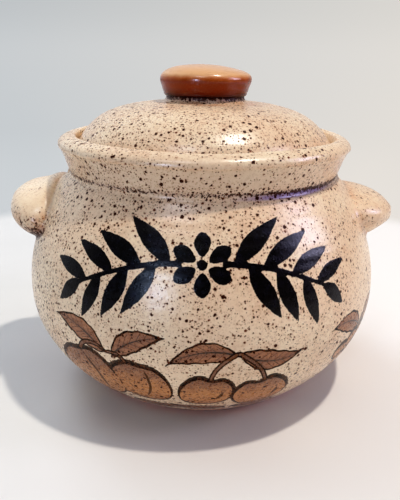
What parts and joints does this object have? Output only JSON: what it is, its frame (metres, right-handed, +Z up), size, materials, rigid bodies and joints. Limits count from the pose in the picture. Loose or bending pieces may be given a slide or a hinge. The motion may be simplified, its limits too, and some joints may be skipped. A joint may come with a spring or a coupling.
{
  "type": "rumtopf pot",
  "caption": "Round stoneware preserving pot with flared rim, two ear lugs and a lift-off domed lid with a clay knob, in speckled glaze with a painted fruit band.",
  "frame": {"origin": "centre of the foot ring, on the surface that the pot stands on", "axes": "+Z up along the pot's turning axis, +X through the two lugs, the painted front faces -Y"},
  "size_m": [0.2528, 0.23, 0.2048],
  "materials": {
    "speckled_glaze": "satin cream glaze over iron-speckled stoneware",
    "knob_glaze": "glossy orange-brown glaze"
  },
  "bodies": {
    "pot": {"vessel": "speckled_glaze", "lug_left": "speckled_glaze", "lug_right": "speckled_glaze"},
    "lid": {"lid": "speckled_glaze", "knob": "knob_glaze"}
  },
  "joints": [
    {"name": "lid_lift", "type": "slide", "parent": "pot", "child": "lid", "axis": [0, 0, 1], "range_m": [0, 0.15]}
  ]
}
